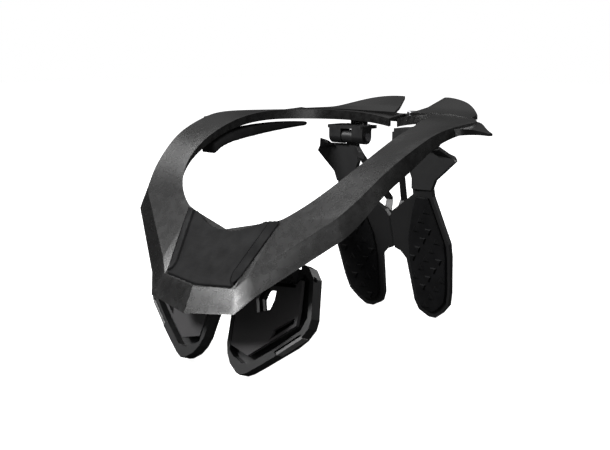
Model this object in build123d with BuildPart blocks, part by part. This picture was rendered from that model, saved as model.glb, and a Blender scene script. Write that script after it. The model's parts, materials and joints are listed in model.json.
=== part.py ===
"""Open-frame neck brace: two collar halves that part at the front and hinge behind the neck.

Millimetres, +Z up, the wearer faces -Y, X = 0 is the mirror plane, and the four feet stand on Z = 0.
Each right-hand piece is modelled once and mirrored to make its left-hand twin.
"""
from math import cos, radians, sin, tan

from build123d import *
import os

# ---------------------------------------------------------------- driving dimensions
seam_gap = 0.2                  # half of the gap between the two collar halves at X = 0
shell_wall = 2.6                # moulded collar shell
clearance = 0.3                 # between soft pieces and the shells they sit in
running_gap = 0.06              # radial clearance of a pin in the part that turns on it

pad_front_y, pad_front_z = -119.9, 64.2     # foot of the sloped front pad
pad_slope = 51.8                            # degrees from level
pad_length = 50.8
pad_thickness = 2.0
pocket_level, pad_level = 0.5, 0.6          # recess floor and pad's underside, above the slope's line
pocket_room = 0.4                           # round the pad in its recess
base_thickness = 0.8                        # stiff plate let into the pad's underside

collar_hinge_y = 118.0          # upright pin that joins the two halves behind the neck
collar_pin_radius = 2.0
knuckle_radius = 4.6
knuckle_levels = (158.0, 160.2, 162.4, 164.6)
knuckle_gap = 0.15              # on each side of the middle knuckle
hinge_plate_x, hinge_plate_length, hinge_plate_thickness = 15.0, 18.0, 5.0
pin_cap_height, pin_cap_round = 2.4, 1.2

wing_pin_y, wing_pin_z = 76.5, 147.0        # cross pin that each back wing folds on
wing_pin_radius = 2.0
wing_lug_radius = 5.4
wing_lug_x = (26.5, 37.5)
wing_ears_x = ((15.0, 26.2), (37.8, 50.0))
wing_bend_z = 110.0             # the blade is upright above this height and leans back below it
wing_yaw = 4.5                  # degrees the blades' inner edges lie back, towards the spine
wing_lean = 12.8                # degrees
wing_front_y = 78.0             # front face of the upright part
wing_thickness = 4.0
wing_pad_thickness = 1.8

bracket_ear_radius = 6.0
bracket_drop = 6.4              # from the wing pin up to the bracket's base plate
bracket_plate = (38.0, 21.0, 2.6)           # width, length and thickness
bracket_post = (14.0, 5.0, 12.0)            # upright rib that meets the shell's rim
bracket_screws_x, bracket_screw_setback = (22.0, 43.0), 11.0

paddle_turn = 1.1               # degrees each chest paddle is turned outward
paddle_lean = 20.5              # degrees its foot is brought forward
paddle_origin = (12.5, -101.9, 35.0)
paddle_depth = 10.0             # how far the tray's back lies behind the paddle's face
paddle_wall = 2.6
paddle_pin = (38.0, -3.0)       # height and depth of the tilt pin in the paddle's own plane
paddle_pin_radius = 1.8
paddle_lug_radius = 4.4
paddle_ear_radius = 5.0
ear_room = 0.35                 # beside each ear, in the slots of the tray
tray_lug_x = (26.4, 41.6)
bracket_ears_x = ((21.6, 26.1), (41.9, 46.4))
plate_thickness, plate_setback = 3.0, 3.6
cushion_thickness = 2.6

clip_size = (23.0, 2.0, 6.6)    # length, width and depth
clip_turn = 39.2                # degrees, along the tray's lower edge
clip_recess = (52.4, -7.6)      # the middle of the recess in the tray's lower edge
clip_place = (52.0, -7.04)

latch_z = (50.0, 58.0)          # levels of the latch behind the front face
latch_x, latch_y = 12.0, -122.9             # the middle of the release button
button_size = (12.0, 4.0, 6.6)
button_reach = 2.6              # how far the button hangs below the housing
button_room = 0.1

leaf_screw_places = ((66.0, 88.0), (28.0, 109.0))
leaf_screw_level, leaf_screw_grip = 162.2, 2.2
screw_head_radius, screw_head_height = 2.6, 1.4
screw_radius, bracket_screw_grip = 1.3, 3.2
long_cut = 160.0                # longer than any bore that it cuts


# ---------------------------------------------------------------- the collar shell's stations
# Each station holds the inner top edge, the outer top edge, the outer lower edge and the depth
# of the inner wall. The first four are joined by flat facets, the rest by smooth curves.
facet_stations = [
    ((seam_gap, -94.9, 96.0), (seam_gap, -126.2, 61.6), (seam_gap, -134.5, 44.7), 8.0),
    ((37.0, -88.6, 103.9), (34.4, -120.9, 63.9), (40.7, -127.9, 49.3), 8.0),
    ((41.5, -87.6, 105.2), (43.1, -115.0, 73.9), (52.0, -117.8, 61.9), 8.0),
    ((45.1, -87.2, 106.5), (91.6, -87.4, 112.0), (98.9, -89.4, 99.6), 8.0),
]
curve_stations = [
    ((66.7, -74.6, 122.6), (101.5, -73.0, 126.5), (105.5, -77.0, 111.5), 7.0),
    ((77.5, -58.0, 136.5), (107.0, -57.5, 139.5), (109.8, -62.0, 125.5), 6.5),
    ((82.8, -36.0, 149.5), (112.4, -37.0, 152.2), (114.4, -40.0, 139.8), 6.5),
    ((83.6, -11.6, 159.6), (115.1, -10.0, 162.5), (116.2, -11.5, 154.6), 6.5),
    ((82.9, 4.0, 164.0), (117.5, 6.0, 165.6), (118.2, 5.6, 159.2), 6.5),
    ((77.6, 24.0, 167.6), (111.0, 40.0, 167.0), (111.4, 40.3, 160.8), 7.0),
    ((66.5, 48.0, 168.6), (92.0, 66.0, 167.2), (92.3, 66.3, 161.0), 7.5),
    ((49.0, 70.0, 168.0), (70.0, 92.0, 167.2), (70.2, 92.3, 161.0), 7.5),
    ((27.0, 84.5, 166.0), (42.0, 110.0, 166.6), (42.1, 110.3, 160.4), 7.0),
    ((4.0, 91.0, 161.8), (5.0, 113.0, 164.6), (5.0, 113.2, 158.4), 6.5),
]
liner_stations = facet_stations[-1:] + curve_stations[:6]

# The rear leaf's stations: front edge, crown and rear edge of its top face.
leaf_stations = [
    ((91.5, 62.0, 167.4), (89.25, 69.75, 168.0), (87.0, 77.5, 168.8)),
    ((68.0, 75.0, 168.4), (66.0, 94.0, 169.2), (64.0, 110.5, 171.2)),
    ((50.0, 86.0, 168.2), (50.0, 104.0, 170.0), (50.0, 121.0, 175.5)),
    ((32.0, 95.0, 167.4), (31.0, 112.0, 170.6), (32.0, 128.0, 178.2)),
    ((8.0, 104.0, 166.4), (14.0, 119.25, 170.4), (20.0, 134.5, 178.0)),
]
leaf_thickness = 2.6

# The tail fin's stations: front and rear edge of its top face, and its thickness there.
tail_stations = [
    ((113.5, -8.0, 162.0), (100.0, 58.0, 165.6), 4.6),
    ((120.5, 7.0, 164.2), (112.0, 46.0, 165.2), 4.4),
    ((128.0, 11.8, 163.4), (125.0, 30.0, 163.8), 3.2),
    ((138.2, 12.0, 161.6), (139.2, 15.5, 161.6), 1.6),
]

# The neck foam's stations: inner and outer top edge, and its height.
neck_foam_stations = [
    ((83.4, -28.0, 143.8), (99.0, -27.0, 144.8), 8.4),
    ((84.2, -8.0, 151.8), (98.0, -6.0, 152.6), 8.0),
    ((82.2, 10.0, 155.8), (95.0, 16.0, 156.2), 8.4),
    ((74.6, 32.0, 158.6), (84.0, 38.0, 158.4), 7.0),
    ((61.0, 56.0, 158.6), (67.0, 61.0, 158.4), 3.0),
]


def station_plane(inner, outer, lower):
    """The plane of a station: X from the inner to the outer edge, Y up."""
    across = (Vector(*outer) - Vector(*inner)).normalized()
    normal = across.cross(Vector(*inner) - Vector(*lower)).normalized()
    if normal.cross(across).Z < 0:
        normal = normal * -1
    return Plane(origin=inner, x_dir=across, z_dir=normal)


def channel_ring(inner, outer, lower, depth):
    """The open-bottomed channel section of the shell at one station."""
    plane = station_plane(inner, outer, lower)
    width = (Vector(*outer) - Vector(*inner)).length
    foot = plane.to_local_coords(Vector(*lower))
    wall = shell_wall
    outline = [
        (-0.6, -depth), (0, 0), (width, 0), (foot.X, foot.Y), (foot.X - wall, foot.Y),
        (width - wall, -wall), (wall, -wall), (wall - 0.6, -depth),
    ]
    return [plane.from_local_coords(Vector(x, y, 0)) for x, y in outline]


def liner_ring(inner, outer, lower, depth):
    """The foam that fills the channel and stands a little proud below it."""
    plane = station_plane(inner, outer, lower)
    width = (Vector(*outer) - Vector(*inner)).length
    foot = plane.to_local_coords(Vector(*lower))
    reach = shell_wall + 2 * clearance
    outline = [
        (reach, -reach), (width - reach - 0.6, -reach),
        (foot.X - reach - 0.8, foot.Y + 1.0), (reach + 0.2, -depth - 0.8),
    ]
    return [plane.from_local_coords(Vector(x, y, 0)) for x, y in outline]


def leaf_ring(front, crown, rear):
    """The leaf's section at one station, thinning towards its front edge."""
    drop = Vector(0, 0, leaf_thickness)
    front, crown, rear = Vector(*front), Vector(*crown), Vector(*rear)
    return [front, crown, rear, rear - drop, crown - drop, front - drop * 0.9]


def slab_ring(first, second, height):
    """A four-cornered section between two top edges, with an upright height."""
    drop = Vector(0, 0, height)
    first, second = Vector(*first), Vector(*second)
    return [first, second, second - drop, first - drop]


def rail_solid(rings, facet_count=0):
    """A solid whose corners run along rails: straight for the first bays, then one smooth curve."""
    corner_count = len(rings[0])
    rails = []
    for corner in range(corner_count):
        points = [ring[corner] for ring in rings]
        straight = [Line(points[i], points[i + 1]) for i in range(facet_count)]
        curved = points[facet_count:]
        rails.append(straight + ([Spline(*curved)] if len(curved) > 1 else []))
    faces = [
        Face.make_surface_from_curves(first, second)
        for corner in range(corner_count)
        for first, second in zip(rails[corner], rails[(corner + 1) % corner_count])
    ]
    for ring in (rings[0], rings[-1]):
        faces.append(Face(Polyline(*ring, close=True).wire()))
    solid = Solid(Shell(faces))
    return solid if solid.volume > 0 else Solid(solid.wrapped.Reversed())


# ---------------------------------------------------------------- planes that pieces share
pad_plane = Plane(
    origin=(0, pad_front_y, pad_front_z),
    x_dir=(1, 0, 0),
    z_dir=(0, -sin(radians(pad_slope)), cos(radians(pad_slope))),
)
blade_plane = Plane(
    origin=(0, wing_front_y + 58.0 * tan(radians(wing_yaw)), wing_bend_z),
    x_dir=(cos(radians(wing_yaw)), -sin(radians(wing_yaw)), 0),
    z_dir=(-sin(radians(wing_yaw)), -cos(radians(wing_yaw)), -tan(radians(wing_lean))),
)
upright_plane = Plane(origin=(0, wing_front_y, 0), x_dir=(1, 0, 0), z_dir=(0, -1, 0))
paddle_plane = Plane(
    origin=paddle_origin,
    x_dir=(cos(radians(paddle_turn)), sin(radians(paddle_turn)), 0),
    z_dir=(sin(radians(paddle_turn)), -cos(radians(paddle_turn)), tan(radians(paddle_lean))),
)

# ---------------------------------------------------------------- front pad and its base
pad_side = [(31.5, -1.0), (35.0, 8.0), (45.0, pad_length), (33.0, 48.6), (17.6, 40.6)]

with BuildSketch(pad_plane.offset(pad_level)) as pad_shape:
    with BuildLine():
        Polyline((0, -4.6), *pad_side)
        ThreePointArc(pad_side[-1], (0, 37.6), (-17.6, 40.6))
        Polyline((-17.6, 40.6), *[(-x, s) for x, s in reversed(pad_side[:-1])], (0, -4.6))
    make_face()

with BuildPart() as pad_base:
    with BuildSketch(pad_plane.offset(pad_level)):
        with Locations((0, 18.0)):
            RectangleRounded(52, 32, 5)
    extrude(amount=base_thickness)

with BuildPart() as front_pad:
    add(pad_shape.sketch)
    extrude(amount=pad_thickness)
    add(pad_base.part, mode=Mode.SUBTRACT)

with BuildPart() as pad_pocket:
    with BuildSketch(pad_plane.offset(pocket_level)):
        add(pad_shape.sketch_local)
        offset(amount=pocket_room, kind=Kind.INTERSECTION)
    extrude(amount=10.0)

# ---------------------------------------------------------------- collar shells, liners, leaves, tails
leaf_body = rail_solid([leaf_ring(*station) for station in leaf_stations])
shell_body = rail_solid(
    [channel_ring(*station) for station in facet_stations + curve_stations],
    facet_count=len(facet_stations) - 1,
)
liner_body = rail_solid([liner_ring(*station) for station in liner_stations])
tail_body = rail_solid([slab_ring(*station) for station in tail_stations])
neck_foam_body = rail_solid([slab_ring(*station) for station in neck_foam_stations])
shell_body_left = mirror(shell_body, about=Plane.YZ)

with BuildPart() as rear_leaf_right:
    add(leaf_body)

with BuildPart() as leaf_screws_right:
    with Locations(*[(screw_x, screw_y, leaf_screw_level) for screw_x, screw_y in leaf_screw_places]):
        Cylinder(screw_radius, leaf_screw_grip, align=(Align.CENTER, Align.CENTER, Align.MIN))
        Cylinder(screw_head_radius, screw_head_height, align=(Align.CENTER, Align.CENTER, Align.MAX))

with BuildPart() as collar_shell_right:
    add(shell_body)
    add(leaf_body, mode=Mode.SUBTRACT)
    add([pad_pocket.part, leaf_screws_right.part], mode=Mode.SUBTRACT)

with BuildPart() as liner_cut:
    add(liner_body)
    add(shell_body, mode=Mode.SUBTRACT)

with BuildPart() as shoulder_liner_right:
    add(liner_cut.solids().sort_by(SortBy.VOLUME)[-1])

with BuildPart() as tail_cut:
    add(tail_body)
    add([shell_body, liner_body], mode=Mode.SUBTRACT)

with BuildPart() as tail_fin_right:
    add(tail_cut.solids().sort_by(SortBy.VOLUME)[-1])

with BuildPart() as neck_foam_right:
    add(neck_foam_body)

# ---------------------------------------------------------------- collar hinge behind the neck
collar_pin_axis = (0, collar_hinge_y)


def hinge_plate(levels, bore_radius, side):
    """A wall plate with knuckles at the given levels; side is 1 on the right and -1 on the left."""
    low, high = levels[0][0], levels[-1][1]
    with BuildPart() as plate:
        with BuildSketch(Plane.XY.offset(low)):
            with Locations((side * hinge_plate_x, collar_hinge_y - hinge_plate_thickness / 2)):
                Rectangle(hinge_plate_length, hinge_plate_thickness)
        extrude(amount=high - low)
        for bottom, top in levels:
            with BuildSketch(Plane.XY.offset(bottom)):
                with Locations(collar_pin_axis):
                    Circle(knuckle_radius)
                with Locations((side * knuckle_radius, collar_hinge_y - 1.0)):
                    Rectangle(2 * knuckle_radius, hinge_plate_thickness - 1.0)
            extrude(amount=top - bottom)
        with Locations((0, collar_hinge_y, low)):
            Cylinder(bore_radius, 2 * (high - low), mode=Mode.SUBTRACT)
    return plate.part


left_levels = [
    (knuckle_levels[0], knuckle_levels[1] - knuckle_gap),
    (knuckle_levels[2] + knuckle_gap, knuckle_levels[3]),
]
right_levels = [(knuckle_levels[1] + knuckle_gap, knuckle_levels[2] - knuckle_gap)]

with BuildPart() as collar_hinge_right:
    add(hinge_plate(right_levels, collar_pin_radius + running_gap, 1))
    add(shell_body, mode=Mode.SUBTRACT)

with BuildPart() as collar_hinge_left:
    add(hinge_plate(left_levels, collar_pin_radius, -1))
    add(shell_body_left, mode=Mode.SUBTRACT)

with BuildPart() as collar_hinge_pin:
    with Locations((0, collar_hinge_y, knuckle_levels[0])):
        Cylinder(collar_pin_radius, knuckle_levels[3] - knuckle_levels[0],
                 align=(Align.CENTER, Align.CENTER, Align.MIN))
    with Locations((0, collar_hinge_y, knuckle_levels[3])):
        Cylinder(knuckle_radius, pin_cap_height, align=(Align.CENTER, Align.CENTER, Align.MIN))
    fillet(collar_hinge_pin.edges().sort_by(Axis.Z)[-1], radius=pin_cap_round)

# ---------------------------------------------------------------- back wings and their brackets
pin_point = (0, wing_pin_y, wing_pin_z)
side_view = Plane(origin=pin_point, x_dir=(0, 1, 0), z_dir=(1, 0, 0))
pin_cut_plane = Plane(origin=pin_point, z_dir=(1, 0, 0))
bracket_floor = wing_pin_z + bracket_drop
bracket_top = bracket_floor + bracket_plate[2]
bracket_screw_y = wing_pin_y + bracket_screw_setback

with BuildPart() as bracket_blank:
    for low_x, high_x in wing_ears_x:
        with BuildSketch(side_view.offset(low_x)):
            Circle(bracket_ear_radius)
            with Locations((0, bracket_drop / 2)):
                Rectangle(2 * bracket_ear_radius, bracket_drop)
        extrude(amount=high_x - low_x)
    with BuildSketch(Plane.XY.offset(bracket_floor)):
        with Locations((34.0, wing_pin_y + 4.5)):
            RectangleRounded(*bracket_plate[:2], 3.0)
    extrude(amount=bracket_plate[2])
    with BuildSketch(Plane.XY.offset(bracket_top)):
        with Locations((33.0, wing_pin_y + 12.5)):
            Rectangle(*bracket_post[:2])
    extrude(amount=bracket_post[2])
    with Locations(pin_cut_plane):
        Cylinder(wing_pin_radius, long_cut, mode=Mode.SUBTRACT)
    with Locations(*[(screw_x, bracket_screw_y, bracket_top) for screw_x in bracket_screws_x]):
        Hole(screw_radius, long_cut)
    add([shell_body, leaf_body], mode=Mode.SUBTRACT)

with BuildPart() as wing_bracket_right:
    add(bracket_blank.solids().sort_by(Axis.Z)[0])

with BuildPart() as bracket_screws_right:
    with Locations(*[(screw_x, bracket_screw_y, bracket_floor) for screw_x in bracket_screws_x]):
        Cylinder(screw_head_radius, screw_head_height, align=(Align.CENTER, Align.CENTER, Align.MAX))
        Cylinder(screw_radius, bracket_screw_grip, align=(Align.CENTER, Align.CENTER, Align.MIN))

with BuildPart() as wing_pin_right:
    with BuildSketch(side_view.offset(wing_ears_x[0][0] - screw_head_height)):
        Circle(wing_pin_radius + 1.2)
    extrude(amount=screw_head_height)
    with BuildSketch(side_view.offset(wing_ears_x[0][0])):
        Circle(wing_pin_radius)
    extrude(amount=wing_ears_x[1][1] - wing_ears_x[0][0])

blade_outline = [
    (47.5, 3.0), (47.5, -7.0), (58.0, -45.0), (57.5, -56.5), (52.6, -88.0), (49.4, -99.5),
    (41.3, -108.0), (34.4, -112.8), (27.0, -112.8), (17.4, -108.0), (14.0, -99.5), (11.4, -63.5),
    (6.0, -57.5), (seam_gap, -55.5), (seam_gap, -28.0), (3.0, -22.8), (17.0, -13.5), (28.0, -6.0),
    (28.6, 3.0),
]
upright_outline = [
    (29.0, 109.0), (47.5, 109.0), (50.8, 117.0), (60.0, 125.0), (69.0, 133.0), (67.0, 136.5),
    (56.0, 140.0), (37.3, 140.4), (37.3, wing_pin_z), (26.7, wing_pin_z), (26.7, 140.0),
    (25.5, 126.0), (29.0, 117.0),
]
pad_inset_outline = [
    (44.0, -7.0), (54.5, -45.0), (54.0, -56.0), (49.6, -87.0), (46.4, -97.0), (40.0, -103.5),
    (33.6, -107.6), (28.3, -107.6), (21.3, -104.6), (18.4, -98.0), (15.8, -64.0), (17.5, -44.0),
    (26.3, -18.0), (31.5, -7.0),
]
strut_rings = [
    slab_ring((2.0, 93.0, 84.0), (9.0, 92.6, 84.0), 6.0),
    slab_ring((4.0, 98.5, 97.0), (10.5, 98.5, 97.0), 3.4),
    slab_ring((17.0, 75.5, 134.0), (22.5, 75.5, 135.0), 5.0),
    slab_ring((26.9, 80.5, 141.0), (31.5, 79.5, 141.0), 5.0),
]

shelf_rings = [
    slab_ring((51.5, 80.0, 138.4), (51.5, 71.0, 143.0), 2.6),
    slab_ring((69.0, 80.5, 135.2), (59.5, 70.5, 144.6), 2.6),
]
shelf_piece = rail_solid(shelf_rings)
strut_pieces = [rail_solid(list(pair)) for pair in zip(strut_rings, strut_rings[1:])]

with BuildPart() as wing_right:
    with BuildSketch(blade_plane):
        with BuildLine():
            Polyline(*blade_outline, close=True)
        make_face()
    extrude(amount=-wing_thickness)
    with BuildSketch(upright_plane):
        with BuildLine():
            Polyline(*upright_outline, close=True)
        make_face()
    extrude(amount=-wing_thickness)
    with BuildSketch(side_view.offset(wing_lug_x[0])):
        Circle(wing_lug_radius)
    extrude(amount=wing_lug_x[1] - wing_lug_x[0])
    add([shelf_piece, *strut_pieces])
    with Locations(pin_cut_plane):
        Cylinder(wing_pin_radius + running_gap, long_cut, mode=Mode.SUBTRACT)

with BuildPart() as wing_pad_right:
    with BuildSketch(blade_plane):
        with BuildLine():
            Polyline(*pad_inset_outline, close=True)
        make_face()
    extrude(amount=wing_pad_thickness)

# ---------------------------------------------------------------- chest paddles
tray_outline = [
    (-4.0, 30.0), (-3.5, 4.0), (-2.0, -8.0), (-1.2, -15.0), (1.5, -22.0), (6.0, -28.0), (13.0, -32.6),
    (17.0, -33.6), (22.0, -31.2), (30.0, -25.6), (54.5, -7.2), (60.5, -1.2), (65.0, 6.5), (65.5, 13.0),
    (60.0, 38.5), (54.0, 45.0), (48.0, 46.5), (48.0, 41.0), (2.0, 36.0),
]
pocket_outline = [
    (-0.4, 27.0), (0.4, 4.0), (2.5, -19.0), (7.0, -22.5), (16.0, -25.8), (22.8, -24.6), (42.0, -10.4),
    (59.2, 4.4), (62.2, 13.0), (57.0, 36.5), (52.0, 40.0), (46.0, 33.0), (4.0, 29.0),
]
front_plate_outline = [
    (0.8, 4.0), (3.2, -15.6), (20.0, -19.8), (55.0, 6.5), (54.6, 16.0), (51.4, 36.0), (49.8, 36.0),
    (47.2, 32.4), (47.2, 30.5), (4.0, 26.6), (0.8, 24.0),
]
cushion_outline = [
    (-0.5, 27.0), (0, 0), (1.5, -17.0), (6.5, -24.0), (14.0, -29.0), (18.0, -29.2), (29.0, -22.0),
    (53.0, -4.0), (57.5, 0.5), (61.0, 7.5), (61.4, 13.0), (56.8, 36.0), (52.0, 41.0), (49.6, 37.0),
    (3.0, 31.0),
]
strap_window = [(19.5, 9.2), (30.2, 13.2), (32.0, 20.0), (31.7, 27.0), (17.5, 26.0), (15.4, 19.0)]
clip_window = [(35.5, -6.2), (36.6, 0.4), (52.2, 11.0), (52.8, 7.6)]
pin_height, pin_depth = paddle_pin
tilt_point = paddle_plane.from_local_coords(Vector(0, pin_height, pin_depth))
tilt_plane = Plane(origin=tilt_point, x_dir=paddle_plane.y_dir, z_dir=paddle_plane.x_dir)
ear_plane = Plane(origin=tilt_point, x_dir=(0, 0, 1), z_dir=paddle_plane.x_dir)
tilt_cut_plane = Plane(origin=tilt_point, z_dir=paddle_plane.x_dir)
ear_outline = [(-2.0, 4.5), (3.0, 8.0), (3.0, 24.0), (44.0, 24.0), (44.0, 7.0), (8.0, 6.0), (4.0, -3.0)]

with BuildPart() as ear_notches:
    for low, high in bracket_ears_x:
        with BuildSketch(paddle_plane.offset(-2 * paddle_depth)):
            with Locations(((low + high) / 2, pin_height + 3.5)):
                Rectangle(high - low + 2 * ear_room, 4 * paddle_ear_radius)
        extrude(amount=3 * paddle_depth)

with BuildPart() as paddle_tray_right:
    with BuildSketch(paddle_plane.offset(-paddle_depth)):
        with BuildLine():
            Polyline(*tray_outline, close=True)
        make_face()
    extrude(amount=paddle_depth - 1.0)
    with BuildSketch(paddle_plane.offset(-paddle_depth + paddle_wall)):
        with BuildLine():
            Polyline(*pocket_outline, close=True)
        make_face()
    extrude(amount=paddle_depth, mode=Mode.SUBTRACT)
    with BuildSketch(paddle_plane):
        with BuildLine():
            Polyline(*strap_window, close=True)
        make_face()
    extrude(amount=-2 * paddle_depth, mode=Mode.SUBTRACT)
    with BuildSketch(paddle_plane):
        with Locations(clip_recess):
            Rectangle(clip_size[0] + 0.4, 5.6, rotation=clip_turn)
    extrude(amount=-8.0, mode=Mode.SUBTRACT)
    with BuildSketch(tilt_plane.offset(tray_lug_x[0])):
        Circle(paddle_lug_radius)
    extrude(amount=tray_lug_x[1] - tray_lug_x[0])
    add(ear_notches.part, mode=Mode.SUBTRACT)
    with Locations(tilt_cut_plane):
        Cylinder(paddle_pin_radius + running_gap, long_cut, mode=Mode.SUBTRACT)

with BuildPart() as paddle_plate_right:
    with BuildSketch(paddle_plane.offset(-plate_setback)):
        with BuildLine():
            Polyline(*front_plate_outline, close=True)
        make_face()
    extrude(amount=plate_thickness)
    with BuildSketch(paddle_plane.offset(-paddle_depth + paddle_wall)):
        with Locations((22.0, 0)):
            RectangleRounded(24.0, 14.0, 3.0)
        with Locations((44.0, 20.0)):
            RectangleRounded(12.0, 12.0, 3.0)
    extrude(amount=paddle_depth - paddle_wall - plate_thickness)
    with BuildSketch(paddle_plane):
        for window in (strap_window, clip_window):
            with BuildLine():
                Polyline(*window, close=True)
            make_face()
    extrude(amount=-plate_setback - 0.9, mode=Mode.SUBTRACT)
    add(ear_notches.part, mode=Mode.SUBTRACT)

with BuildPart() as paddle_cushion_right:
    with BuildSketch(paddle_plane.offset(-paddle_depth)):
        with BuildLine():
            Polyline(*cushion_outline, close=True)
        make_face()
        with BuildLine():
            Polyline(*strap_window, close=True)
        make_face(mode=Mode.SUBTRACT)
    extrude(amount=-cushion_thickness)
    add(ear_notches.part, mode=Mode.SUBTRACT)

with BuildPart() as paddle_pin_right:
    with BuildSketch(tilt_plane.offset(bracket_ears_x[0][0])):
        Circle(paddle_pin_radius)
    extrude(amount=bracket_ears_x[1][1] - bracket_ears_x[0][0])

with BuildPart() as paddle_ears:
    for low, high in bracket_ears_x:
        with BuildSketch(ear_plane.offset(low)):
            Circle(paddle_ear_radius)
            with BuildLine():
                Polyline(*ear_outline, close=True)
            make_face()
        extrude(amount=high - low)
    with BuildSketch(ear_plane.offset(bracket_ears_x[0][1])):
        with Locations((23.5, 20.0)):
            Rectangle(41.0, 4.0)
    extrude(amount=bracket_ears_x[1][0] - bracket_ears_x[0][1])
    with Locations(tilt_cut_plane):
        Cylinder(paddle_pin_radius, long_cut, mode=Mode.SUBTRACT)
    add(shell_body, mode=Mode.SUBTRACT)

with BuildPart() as paddle_bracket_right:
    add(paddle_ears.solids().sort_by(Axis.Z)[0])

with BuildPart() as size_clip_right:
    with BuildSketch(paddle_plane.offset(-1.4)):
        with Locations(clip_place):
            Rectangle(*clip_size[:2], rotation=clip_turn)
    extrude(amount=-clip_size[2])

# ---------------------------------------------------------------- front latch
latch_height = latch_z[1] - latch_z[0]

with BuildPart() as latch_blank:
    with BuildSketch(Plane.XY.offset(latch_z[0])):
        with Locations((latch_x, latch_y - 4.1)):
            Rectangle(20.0, 15.0)
        with Locations((latch_x, latch_y)):
            Rectangle(button_size[0] + 2 * button_room, button_size[1] + 2 * button_room,
                      mode=Mode.SUBTRACT)
    extrude(amount=latch_height)
    add(shell_body, mode=Mode.SUBTRACT)

with BuildPart() as latch_housing:
    add(latch_blank.solids().sort_by(Axis.Y)[-1])

with BuildPart() as release_button:
    with BuildSketch(Plane.XY.offset(latch_z[0] - button_reach)):
        with Locations((latch_x, latch_y)):
            RectangleRounded(*button_size[:2], 1.0)
    extrude(amount=button_size[2])

with BuildPart() as tongue_blank:
    with BuildSketch(Plane.XY.offset(latch_z[0])):
        with Locations((-2.0, -116.6)):
            Rectangle(44.0, 2.2)
        with Locations((-20.0, -125.0)):
            Rectangle(8.0, 18.0)
    extrude(amount=latch_height)
    add(shell_body_left, mode=Mode.SUBTRACT)

with BuildPart() as latch_tongue:
    add(tongue_blank.solids().sort_by(Axis.Y)[-1])

# ---------------------------------------------------------------- both sides
right_pieces = {
    "collar_shell": collar_shell_right,
    "rear_leaf": rear_leaf_right,
    "shoulder_liner": shoulder_liner_right,
    "tail_fin": tail_fin_right,
    "neck_foam": neck_foam_right,
    "wing_bracket": wing_bracket_right,
    "bracket_screws": bracket_screws_right,
    "wing_pin": wing_pin_right,
    "wing": wing_right,
    "wing_pad": wing_pad_right,
    "paddle_tray": paddle_tray_right,
    "paddle_plate": paddle_plate_right,
    "paddle_cushion": paddle_cushion_right,
    "paddle_pin": paddle_pin_right,
    "paddle_bracket": paddle_bracket_right,
    "size_clip": size_clip_right,
    "leaf_screws": leaf_screws_right,
}
nodes = {
    "front_pad": front_pad,
    "pad_base": pad_base,
    "latch_tongue": latch_tongue,
    "latch_housing": latch_housing,
    "release_button": release_button,
    "collar_hinge_right": collar_hinge_right,
    "collar_hinge_left": collar_hinge_left,
    "collar_hinge_pin": collar_hinge_pin,
}
for name, right in right_pieces.items():
    with BuildPart() as left:
        mirror(right.part, about=Plane.YZ)
    nodes[f"{name}_right"] = right
    nodes[f"{name}_left"] = left

os.makedirs("parts", exist_ok=True)
for name, piece in nodes.items():
    piece.part.label = name
    export_step(piece.part, f"parts/{name}.step")
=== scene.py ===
"""Looks of a rigid neck brace: bevelled moulded shells, padded liners, studded wing pads."""
import json
import math

import bmesh
import bpy
from mathutils import Matrix, Vector
from mathutils.bvhtree import BVHTree


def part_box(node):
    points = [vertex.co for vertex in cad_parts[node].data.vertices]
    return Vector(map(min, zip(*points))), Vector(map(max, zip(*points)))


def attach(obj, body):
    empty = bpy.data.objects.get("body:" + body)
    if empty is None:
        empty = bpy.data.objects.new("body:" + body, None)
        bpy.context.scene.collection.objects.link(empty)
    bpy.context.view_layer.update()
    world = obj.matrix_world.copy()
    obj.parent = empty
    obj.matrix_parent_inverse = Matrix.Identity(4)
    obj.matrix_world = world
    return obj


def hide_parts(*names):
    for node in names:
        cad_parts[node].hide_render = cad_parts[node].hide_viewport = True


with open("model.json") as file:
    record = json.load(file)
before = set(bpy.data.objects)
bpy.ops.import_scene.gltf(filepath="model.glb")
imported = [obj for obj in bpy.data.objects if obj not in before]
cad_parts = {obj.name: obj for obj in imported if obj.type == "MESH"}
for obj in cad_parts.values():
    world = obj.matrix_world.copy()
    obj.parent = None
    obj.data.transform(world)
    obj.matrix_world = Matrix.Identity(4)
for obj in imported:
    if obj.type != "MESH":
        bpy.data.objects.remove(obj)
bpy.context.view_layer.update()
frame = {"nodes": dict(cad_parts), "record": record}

MM = 0.001
SIDES = ("right", "left")
WELD_DISTANCE = 0.02 * MM
PAD_SLOPE = math.radians(51.8)      # the front pad's slope from level


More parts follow.
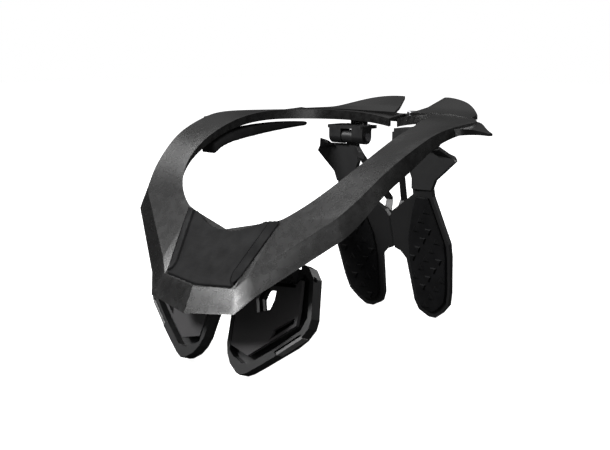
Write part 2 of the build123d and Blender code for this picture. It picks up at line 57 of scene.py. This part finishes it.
# ---------------------------------------------------------------- materials
class Shader:
    """A Principled material under construction, with short calls for the nodes it needs."""

    def __init__(self, name, colour, roughness, **sockets):
        self.material = bpy.data.materials.new(name)
        self.material.use_nodes = True
        self.tree = self.material.node_tree
        self.surface = self.tree.nodes["Principled BSDF"]
        self.surface.inputs["Base Color"].default_value = (*colour, 1)
        self.surface.inputs["Roughness"].default_value = roughness
        for socket, value in sockets.items():
            self.surface.inputs[socket.replace("_", " ")].default_value = value
        self.colour = colour
        self.coords = self.node("ShaderNodeTexCoord").outputs["Object"]
        self.height = None

    def node(self, kind, **settings):
        made = self.tree.nodes.new(kind)
        for key, value in settings.items():
            setattr(made, key, value)
        return made

    def link(self, source, target):
        self.tree.links.new(source, target)

    def noise(self, size, detail=3.0, stretch=(1, 1, 1)):
        """Noise whose features are about size metres across."""
        mapping = self.node("ShaderNodeMapping")
        mapping.inputs["Scale"].default_value = stretch
        self.link(self.coords, mapping.inputs["Vector"])
        texture = self.node("ShaderNodeTexNoise")
        texture.inputs["Scale"].default_value = 1 / size
        texture.inputs["Detail"].default_value = detail
        self.link(mapping.outputs["Vector"], texture.inputs["Vector"])
        return texture.outputs["Fac"]

    def ramp(self, value, low, high, first, last):
        """value from low to high mapped to first to last."""
        mapped = self.node("ShaderNodeMapRange")
        for socket, number in zip(("From Min", "From Max", "To Min", "To Max"), (low, high, first, last)):
            mapped.inputs[socket].default_value = number
        self.link(value, mapped.inputs["Value"])
        return mapped.outputs["Result"]

    def math(self, operation, first, second):
        step = self.node("ShaderNodeMath", operation=operation)
        for socket, value in zip(step.inputs, (first, second)):
            if isinstance(value, (int, float)):
                socket.default_value = value
            else:
                self.link(value, socket)
        return step.outputs[0]

    def tint(self, factor, other):
        """Mixes another colour over the base by a factor."""
        mix = self.node("ShaderNodeMix", data_type="RGBA")
        colour_input = self.surface.inputs["Base Color"]
        if colour_input.is_linked:
            self.link(colour_input.links[0].from_socket, mix.inputs["A"])
        else:
            mix.inputs["A"].default_value = (*self.colour, 1)
        mix.inputs["B"].default_value = (*other, 1)
        self.link(factor, mix.inputs["Factor"])
        self.link(mix.outputs["Result"], colour_input)

    def rough(self, value):
        self.link(value, self.surface.inputs["Roughness"])

    def bump(self, height, distance, strength=1.0):
        """Adds a bump of the given height in metres."""
        bump = self.node("ShaderNodeBump")
        bump.inputs["Distance"].default_value = distance
        bump.inputs["Strength"].default_value = strength
        self.link(height, bump.inputs["Height"])
        normal_input = self.surface.inputs["Normal"]
        if normal_input.is_linked:
            self.link(normal_input.links[0].from_socket, bump.inputs["Normal"])
        self.link(bump.outputs["Normal"], normal_input)

    def worn_edges(self, other, low=0.52, high=0.6, amount=0.5):
        """A paler rub along convex edges, broken up by noise."""
        pointed = self.ramp(self.node("ShaderNodeNewGeometry").outputs["Pointiness"], low, high, 0, amount)
        self.tint(self.math("MULTIPLY", pointed, self.ramp(self.noise(0.004), 0.35, 0.7, 0, 1)), other)


def moulded(name, colour, roughness, grain=0.00045, grain_height=0.00003, edge=None, **sockets):
    """Moulded polymer with a fine spark-eroded grain, soft blotches and rubbed edges."""
    shader = Shader(name, colour, roughness, **sockets)
    darker = tuple(channel * 0.72 for channel in colour)
    shader.tint(shader.ramp(shader.noise(0.03), 0.4, 0.7, 0, 0.4), darker)
    shader.rough(shader.ramp(shader.noise(0.006, 5), 0.3, 0.7, roughness - 0.02, roughness + 0.03))
    shader.bump(shader.noise(grain, 2), grain_height, 0.6)
    shader.bump(shader.noise(0.02, 2), 0.00003, 0.2)
    if edge:
        shader.worn_edges(edge)
    return shader.material


def knit(name, colour, pitch=0.0011):
    """Spacer knit: crossed rows of small loops over a slightly fuzzy ground."""
    shader = Shader(name, colour, 0.85, Sheen_Weight=0.5, Sheen_Roughness=0.4)
    rows = []
    for direction in ("X", "Y", "Z"):
        wave = shader.node("ShaderNodeTexWave", bands_direction=direction)
        wave.inputs["Scale"].default_value = 0.314 / pitch
        wave.inputs["Distortion"].default_value = 0.4
        shader.link(shader.coords, wave.inputs["Vector"])
        rows.append(wave.outputs["Fac"])
    loops = shader.math("MULTIPLY", shader.math("ADD", rows[0], rows[1]), shader.math("ADD", rows[2], 0.4))
    pale = tuple(min(1.0, channel * 2.1 + 0.006) for channel in colour)
    shader.tint(shader.ramp(loops, 0.3, 2.0, 0, 0.8), pale)
    shader.bump(loops, 0.0002, 0.8)
    shader.bump(shader.noise(0.0004, 2), 0.00005, 0.5)
    return shader.material


def soft_rubber(name, colour, roughness, pore=0.0007):
    """Skinned foam or soft rubber with pores and a dusty bloom."""
    shader = Shader(name, colour, roughness, Specular_IOR_Level=0.12)
    cells = shader.node("ShaderNodeTexVoronoi")
    cells.inputs["Scale"].default_value = 1 / pore
    shader.link(shader.coords, cells.inputs["Vector"])
    shader.bump(cells.outputs["Distance"], 0.00008, 0.55)
    shader.bump(shader.noise(0.008, 3), 0.00015, 0.4)
    pale = tuple(channel * 1.9 + 0.004 for channel in colour)
    shader.tint(shader.ramp(shader.noise(0.014, 4), 0.42, 0.75, 0, 0.5), pale)
    shader.rough(shader.ramp(shader.noise(0.01, 4), 0.3, 0.7, roughness - 0.06, roughness + 0.08))
    return shader.material


def turned_steel(name):
    """Bright turned steel with fine rings."""
    shader = Shader(name, (0.52, 0.52, 0.54), 0.3, Metallic=1.0)
    rings = shader.noise(0.0008, 3, stretch=(1, 6, 6))
    shader.rough(shader.ramp(rings, 0.3, 0.7, 0.22, 0.4))
    shader.bump(rings, 0.00002, 0.5)
    shader.tint(shader.ramp(shader.noise(0.004), 0.5, 0.75, 0, 0.4), (0.3, 0.3, 0.31))
    return shader.material


MATERIALS = {
    "shell_polymer": moulded("shell polymer", (0.0088, 0.0086, 0.0086), 0.27, edge=(0.045, 0.045, 0.045)),
    "wing_polymer": moulded("wing polymer", (0.0195, 0.0195, 0.02), 0.42, edge=(0.05, 0.05, 0.05)),
    "plate_polymer": moulded("plate polymer", (0.075, 0.073, 0.075), 0.3, edge=(0.09, 0.09, 0.09)),
    "inner_polymer": moulded("inner polymer", (0.008, 0.008, 0.0085), 0.5, edge=(0.035, 0.035, 0.035)),
    "clip_polymer": moulded("clip polymer", (0.17, 0.17, 0.17), 0.4, edge=(0.3, 0.3, 0.3)),
    "pad_rubber": soft_rubber("pad rubber", (0.0075, 0.0075, 0.008), 0.62),
    "liner_foam": knit("liner knit", (0.016, 0.016, 0.0165)),
    "neck_foam": soft_rubber("neck foam", (0.024, 0.024, 0.025), 0.7, pore=0.0009),
    "pin_steel": turned_steel("pin steel"),
}


def paint(obj, slot):
    obj.data.materials.clear()
    obj.data.materials.append(MATERIALS[slot])


# ---------------------------------------------------------------- hard pieces
SLOT_OF = {entry["node"]: entry["material_slot"] for entry in frame["record"]["subparts"]}
BEVELS = {
    "collar_shell": 0.7, "rear_leaf": 0.6, "tail_fin": 0.7, "wing": 1.1, "paddle_tray": 0.9,
    "paddle_plate": 0.5, "size_clip": 0.3, "wing_bracket": 0.5, "paddle_bracket": 0.4,
}


def soften(obj, width):
    """Rounds a moulded piece's hard edges, for shading as much as for shape."""
    weld = obj.modifiers.new("weld", "WELD")
    weld.merge_threshold = WELD_DISTANCE
    bevel = obj.modifiers.new("bevel", "BEVEL")
    bevel.width = width * MM
    bevel.segments = 3
    bevel.limit_method = "ANGLE"
    bevel.angle_limit = math.radians(24)
    bevel.use_clamp_overlap = True
    normals = obj.modifiers.new("normals", "WEIGHTED_NORMAL")
    normals.keep_sharp = True


for node, obj in frame["nodes"].items():
    paint(obj, SLOT_OF[node])
    family = node.removesuffix("_right").removesuffix("_left")
    if family in BEVELS:
        soften(obj, BEVELS[family])


# ---------------------------------------------------------------- soft pieces
def joined_mesh(node):
    """A welded copy of a CAD node's mesh, for a piece that replaces it."""
    mesh = frame["nodes"][node].data.copy()
    form = bmesh.new()
    form.from_mesh(mesh)
    bmesh.ops.remove_doubles(form, verts=form.verts, dist=WELD_DISTANCE)
    form.to_mesh(mesh)
    form.free()
    for face in mesh.polygons:
        face.use_smooth = True
    return mesh


def piece(name, mesh, node):
    """A new object that stands for a CAD node and takes its finish."""
    obj = bpy.data.objects.new(name, mesh)
    bpy.context.scene.collection.objects.link(obj)
    paint(obj, SLOT_OF[node])
    return obj


def apply_modifiers(obj):
    """Bakes an object's modifiers into its mesh."""
    evaluated = obj.evaluated_get(bpy.context.evaluated_depsgraph_get())
    mesh = bpy.data.meshes.new_from_object(evaluated)
    obj.modifiers.clear()
    obj.data = mesh


def remesh(obj, voxel, rounds):
    """Even skin with softened corners."""
    grid = obj.modifiers.new("grid", "REMESH")
    grid.mode = "VOXEL"
    grid.voxel_size = voxel
    grid.use_smooth_shade = True
    relax = obj.modifiers.new("relax", "SMOOTH")
    relax.iterations = rounds
    relax.factor = 0.5
    apply_modifiers(obj)


def inflate(obj, pressure, cap, frames=16):
    """Cloth pressure plumps the skin; no point moves further than the cap."""
    start = [vertex.co.copy() for vertex in obj.data.vertices]
    cloth = obj.modifiers.new("cloth", "CLOTH")
    cloth.settings.use_pressure = True
    cloth.settings.uniform_pressure_force = pressure
    cloth.settings.effector_weights.gravity = 0
    cloth.settings.tension_stiffness = 25
    cloth.settings.compression_stiffness = 25
    cloth.settings.shear_stiffness = 15
    cloth.settings.bending_stiffness = 1.5
    cloth.settings.quality = 6
    cloth.point_cache.frame_start = 1
    cloth.point_cache.frame_end = frames
    scene = bpy.context.scene
    for step in range(1, frames + 1):
        scene.frame_set(step)
    apply_modifiers(obj)
    scene.frame_set(1)
    for vertex, old in zip(obj.data.vertices, start):
        moved = vertex.co - old
        if moved.length > cap:
            vertex.co = old + moved.normalized() * cap


def smooth_shade(obj):
    for face in obj.data.polygons:
        face.use_smooth = True


def pad_piece(node, body, voxel, rounds, pressure, cap):
    """A soft piece plumped from a CAD node's own solid."""
    obj = piece(f"soft_{node}", joined_mesh(node), node)
    remesh(obj, voxel, rounds)
    inflate(obj, pressure, cap)
    smooth_shade(obj)
    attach(obj, body)
    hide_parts(node)
    return obj


def side_walls(node, axis):
    """The faces of a slab-like CAD node that stand along its thickness and reach its front skin."""
    mesh = frame["nodes"][node].data
    points = [vertex.co.copy() for vertex in mesh.vertices]
    top = max(point.dot(axis) for point in points) - 0.2 * MM
    walls = [
        tuple(face.vertices) for face in mesh.polygons
        if abs(face.normal.dot(axis)) < 0.4 and max(points[i].dot(axis) for i in face.vertices) > top
    ]
    return BVHTree.FromPolygons(points, walls)


def emboss(obj, node, axis, profile):
    """Moves a slab's front skin along its axis, by the distance from the slab's edge."""
    walls = side_walls(node, axis)
    for vertex in obj.data.vertices:
        if vertex.normal.dot(axis) > 0.55:
            vertex.co += axis * profile(walls.find_nearest(vertex.co)[3])


def framed_pad(distance):
    """A bevelled band round the pad, a fine groove inside it and a slightly sunken middle."""
    band, groove = 6.6 * MM, 1.1 * MM
    if distance < band:
        return 0.5 * MM - 1.4 * MM * (1 - distance / band)
    return -0.9 * MM if distance < band + groove else -0.25 * MM


def studs(obj, node, origin, across, up, axis):
    """Rows of small raised triangles over a pad, turned about from row to row."""
    walls = side_walls(node, axis)
    low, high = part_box(node)
    pitch, radius, rise, margin = 13.4 * MM, 3.9 * MM, 1.0 * MM, 3.6 * MM
    row_spacing = 0.62 * pitch
    sections = ((1.0, -0.4 * MM), (0.96, 0.25 * MM), (0.62, rise))
    form = bmesh.new()
    form.from_mesh(obj.data)
    face_of = BVHTree.FromBMesh(form)
    for row in range(-9, 10):
        for column in range(-4, 5):
            offset = 0.5 * pitch if row % 2 else 0.0
            place = origin + across * (column * pitch + offset) + up * (row * row_spacing)
            hit = face_of.ray_cast(place + axis * 0.03, -axis)
            if hit[0] is None or hit[1].dot(axis) < 0.8 or walls.find_nearest(hit[0])[3] < margin:
                continue
            start = math.pi / 2 + (math.pi if (row // 2 + column) % 2 else 0.0)
            rings = []
            for scale, level in sections:
                rings.append([
                    form.verts.new(hit[0] + axis * level + radius * scale * (
                        across * math.cos(start + turn) + up * math.sin(start + turn)))
                    for turn in (0, 2 * math.pi / 3, 4 * math.pi / 3)
                ])
            for lower, upper in zip(rings, rings[1:]):
                for i in range(3):
                    j = (i + 1) % 3
                    form.faces.new((lower[i], lower[j], upper[j], upper[i]))
            form.faces.new(rings[-1])
            form.faces.new(rings[0][::-1])
    form.normal_update()
    form.to_mesh(obj.data)
    form.free()


HALF = {"right": "right_half", "left": "left_half"}
wing_pads = {}
for side in SIDES:
    pad_piece(f"shoulder_liner_{side}", HALF[side], 1.6 * MM, 6, 3, 1.0 * MM)
    pad_piece(f"neck_foam_{side}", HALF[side], 1.4 * MM, 5, 3, 1.2 * MM)
    pad_piece(f"paddle_cushion_{side}", f"paddle_{side}", 1.0 * MM, 4, 3, 0.6 * MM)
    wing_pads[side] = pad_piece(f"wing_pad_{side}", f"wing_{side}", 0.8 * MM, 3, 2, 0.3 * MM)
front_pad = pad_piece("front_pad", "left_half", 0.45 * MM, 6, 2, 0.3 * MM)

emboss(front_pad, "front_pad", Vector((0, -math.sin(PAD_SLOPE), math.cos(PAD_SLOPE))), framed_pad)

REST = {mount["name"]: mount for mount in frame["record"]["mounts"]}
for side in SIDES:
    rest = REST[f"back_rest_{side}"]
    outward = Vector(rest["axis"]).normalized()
    level = Vector((0, 0, 1)).cross(outward).normalized()
    studs(
        wing_pads[side], f"wing_pad_{side}", Vector(rest["pos_m"]), level, outward.cross(level), outward)


# ---------------------------------------------------------------- studio
def panel_light(name, place, target, size, power):
    data = bpy.data.lights.new(name, "AREA")
    data.shape = "RECTANGLE"
    data.size, data.size_y = size
    data.energy = power
    lamp = bpy.data.objects.new(name, data)
    lamp.location = place
    lamp.rotation_euler = (Vector(target) - Vector(place)).to_track_quat("-Z", "Y").to_euler()
    bpy.context.scene.collection.objects.link(lamp)


def camera_ray(tree):
    return tree.nodes.new("ShaderNodeLightPath").outputs["Is Camera Ray"]


def floor():
    """A pale floor that reads white and throws little light back up."""
    mesh = bpy.data.meshes.new("floor")
    reach = 6
    corners = [(-reach, -reach, 0), (reach, -reach, 0), (reach, reach, 0), (-reach, reach, 0)]
    mesh.from_pydata(corners, [], [(0, 1, 2, 3)])
    obj = bpy.data.objects.new("floor", mesh)
    obj.location.z = -0.0004
    shader = Shader("floor", (0.05, 0.05, 0.05), 0.9, Specular_IOR_Level=0.0)
    seen = camera_ray(shader.tree)
    shader.tint(seen, (0.9, 0.9, 0.9))
    shader.surface.inputs["Emission Color"].default_value = (1, 1, 1, 1)
    shader.link(shader.math("MULTIPLY", seen, 0.86), shader.surface.inputs["Emission Strength"])
    mesh.materials.append(shader.material)
    bpy.context.scene.collection.objects.link(obj)


def sky():
    """White behind the object; a soft ceiling that dims towards the horizon lights it."""
    world = bpy.data.worlds.new("studio")
    world.use_nodes = True
    tree = world.node_tree
    background = tree.nodes["Background"]
    background.inputs["Color"].default_value = (1, 1, 1, 1)
    direction = tree.nodes.new("ShaderNodeSeparateXYZ")
    tree.links.new(tree.nodes.new("ShaderNodeTexCoord").outputs["Generated"], direction.inputs[0])
    ceiling = tree.nodes.new("ShaderNodeMapRange")
    ceiling.interpolation_type = "SMOOTHSTEP"
    for socket, value in zip(("From Min", "From Max", "To Min", "To Max"), (0.1, 0.85, 0.04, 0.42)):
        ceiling.inputs[socket].default_value = value
    tree.links.new(direction.outputs["Z"], ceiling.inputs["Value"])
    strength = tree.nodes.new("ShaderNodeMix")
    tree.links.new(camera_ray(tree), strength.inputs["Factor"])
    tree.links.new(ceiling.outputs["Result"], strength.inputs["A"])
    strength.inputs["B"].default_value = 1.0
    tree.links.new(strength.outputs["Result"], background.inputs["Strength"])
    bpy.context.scene.world = world


def studio():
    floor()
    sky()
    centre = (0, 0, 0.1)
    panel_light("key", (-0.68, -1.15, 1.05), centre, (0.3, 0.3), 25.0)
    panel_light("right", (1.6, -0.62, 0.35), centre, (0.35, 0.8), 3.2)
    panel_light("left", (-1.5, 0.2, 0.9), centre, (0.5, 0.9), 8.0)
    panel_light("back", (0.6, 1.6, 0.8), centre, (0.9, 0.5), 9.0)
    panel_light("low", (-0.9, -1.0, -0.35), centre, (0.6, 0.4), 5.0)
    bpy.context.scene.view_settings.view_transform = "Standard"


def camera():
    """The camera's place, in the row frame, with its three axes."""
    data = bpy.data.cameras.new("camera")
    data.sensor_width = 36
    data.lens = 59.02
    data.clip_start = 0.01
    azimuth, elevation = math.radians(42.025), math.radians(9.74)
    forward = Vector((
        -math.sin(azimuth) * math.cos(elevation),
        math.cos(azimuth) * math.cos(elevation),
        -math.sin(elevation),
    ))
    right = forward.cross(Vector((0, 0, 1))).normalized()
    up = right.cross(forward)
    turn = Matrix((right, up, -forward)).transposed()
    obj = bpy.data.objects.new("camera", data)
    obj.matrix_world = Matrix.Translation(Vector((0.4888, -0.5570, 0.21374))) @ turn.to_4x4()
    bpy.context.scene.collection.objects.link(obj)
    bpy.context.scene.camera = obj


studio()
camera()
